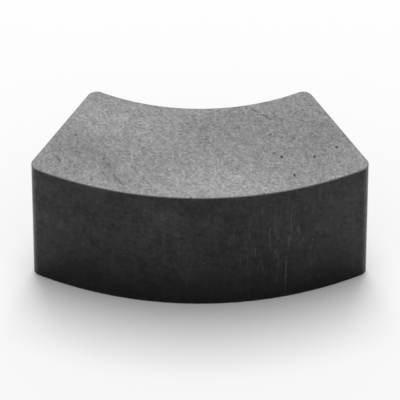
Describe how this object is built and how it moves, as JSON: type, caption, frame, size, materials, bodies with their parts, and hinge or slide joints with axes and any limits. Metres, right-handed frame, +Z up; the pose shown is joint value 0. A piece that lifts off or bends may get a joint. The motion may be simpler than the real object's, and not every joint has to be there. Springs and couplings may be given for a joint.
{
  "type": "arc magnet",
  "caption": "Arc segment of hard ferrite with two ground flat faces, radial end faces and rounded upright corners, for a magnet ring in a motor or generator.",
  "frame": {"origin": "middle of the footprint's bounding rectangle, on the lower ground face", "axes": "+Z up along the arcs' common axis and out of the upper ground face, +X along the chord towards one end face, so that the outer arc bulges towards -Y and the hollow inner arc faces +Y"},
  "size_m": [0.0494, 0.0227, 0.022],
  "materials": {
    "ferrite": "satin"
  },
  "bodies": {
    "root": {"magnet": "ferrite"}
  },
  "joints": []
}
